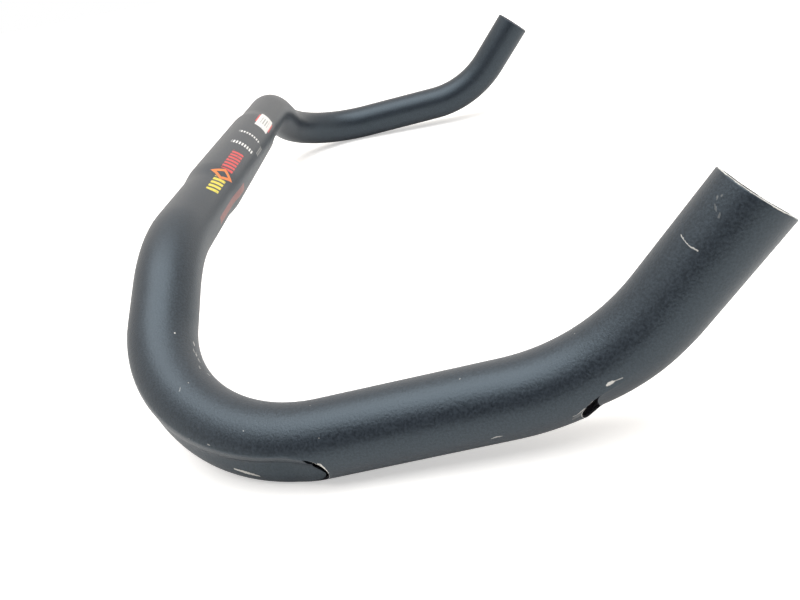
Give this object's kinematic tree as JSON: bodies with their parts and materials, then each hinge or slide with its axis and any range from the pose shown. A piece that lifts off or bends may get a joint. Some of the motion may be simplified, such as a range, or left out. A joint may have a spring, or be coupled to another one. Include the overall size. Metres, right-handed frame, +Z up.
{
  "type": "bullhorn handlebar",
  "caption": "Bent tube bicycle handlebar: a thicker clamp in the middle, shoulders that fall to forward horns with upturned open ends, and cable ports in the horns.",
  "frame": {"origin": "centre of the stem clamp, on its axis", "axes": "+X along the stem clamp to the rider's right, +Y forward along the horns as seen from above, +Z up from the surface that the bar lies on"},
  "size_m": [0.4438, 0.204, 0.0734],
  "materials": {
    "black_paint": "matte black coat on aluminium, chipped and scratched, with bare metal at the cut ends"
  },
  "bodies": {
    "root": {"handlebar": "black_paint"}
  },
  "joints": []
}
